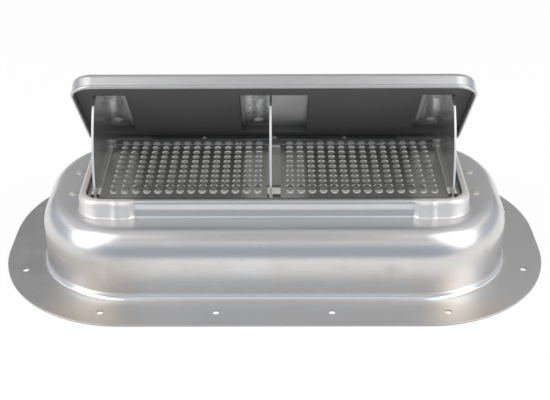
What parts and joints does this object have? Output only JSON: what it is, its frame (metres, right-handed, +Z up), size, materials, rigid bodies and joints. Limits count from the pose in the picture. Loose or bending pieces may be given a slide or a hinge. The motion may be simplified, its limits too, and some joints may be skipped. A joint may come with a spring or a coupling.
{
  "type": "roof vent",
  "caption": "Pressed aluminium caravan roof vent with a hinged lid, held open by quadrant plates that slide through a perforated screen.",
  "frame": {"origin": "centre of the flange's underside, on the roof surface", "axes": "+X along the length, -Y towards the side on which the lid opens, +Z up out of the roof"},
  "size_m": [0.5, 0.268, 0.1771],
  "materials": {
    "pressed_aluminium": "satin mill finish",
    "screen_metal": "plain rolled sheet",
    "polished_plate": "bright rolled sheet",
    "rivet_metal": "bright",
    "hinge_metal": "plain",
    "foam": "matte closed-cell foam",
    "nylon": "natural white"
  },
  "bodies": {
    "base": {"base_pressing": "pressed_aluminium", "screen": "screen_metal", "left_shelf_rivets": "rivet_metal", "right_shelf_rivets": "rivet_metal", "left_friction_block": "nylon", "centre_friction_block": "nylon", "right_friction_block": "nylon", "hinge_base_leaf": "hinge_metal", "hinge_base_rivets": "rivet_metal", "hinge_pin": "hinge_metal"},
    "lid": {"lid_shell": "pressed_aluminium", "lid_lining": "foam", "left_quadrant": "polished_plate", "centre_quadrant": "polished_plate", "right_quadrant": "polished_plate", "left_quadrant_rivets": "rivet_metal", "centre_quadrant_rivets": "rivet_metal", "right_quadrant_rivets": "rivet_metal", "hinge_lid_leaf": "hinge_metal", "hinge_lid_rivets": "rivet_metal"}
  },
  "joints": [
    {"name": "lid_hinge", "type": "hinge", "parent": "base", "child": "lid", "pos_m": [0, 0.0611, 0.072], "axis": [1, 0, 0], "range_deg": [0, 49.8]}
  ]
}
